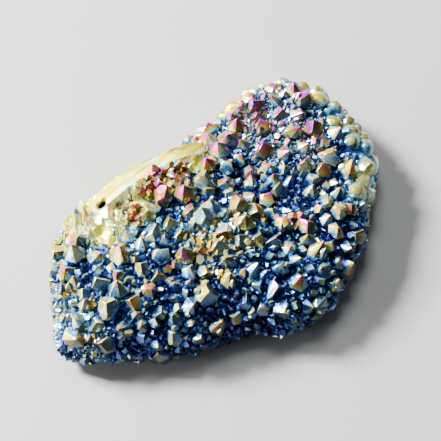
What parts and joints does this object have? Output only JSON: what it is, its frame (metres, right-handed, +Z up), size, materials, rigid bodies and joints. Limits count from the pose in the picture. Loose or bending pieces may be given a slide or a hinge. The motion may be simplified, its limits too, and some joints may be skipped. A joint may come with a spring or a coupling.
{
  "type": "quartz crystal cluster",
  "caption": "Hand-sized slab of quartz grown over with six-sided points under a rainbow metallic coating, with a bare broken ledge on one edge and a flat base to rest on.",
  "frame": {"origin": "on the table, under the middle of the bounding box", "axes": "+X along the slab towards its broad end, +Y towards the edge with the bare ledge, +Z up, the way the crystals point"},
  "size_m": [0.103, 0.0646, 0.0212],
  "materials": {
    "aura_coating": "natural quartz faces under a thin metallic film: navy and royal blue in the gaps, steel blue and silver on the sides, gold, orange and magenta towards the points; glossy, with a cream and pale gold broken ledge"
  },
  "bodies": {
    "root": {"quartz_cluster": "aura_coating"}
  },
  "joints": []
}
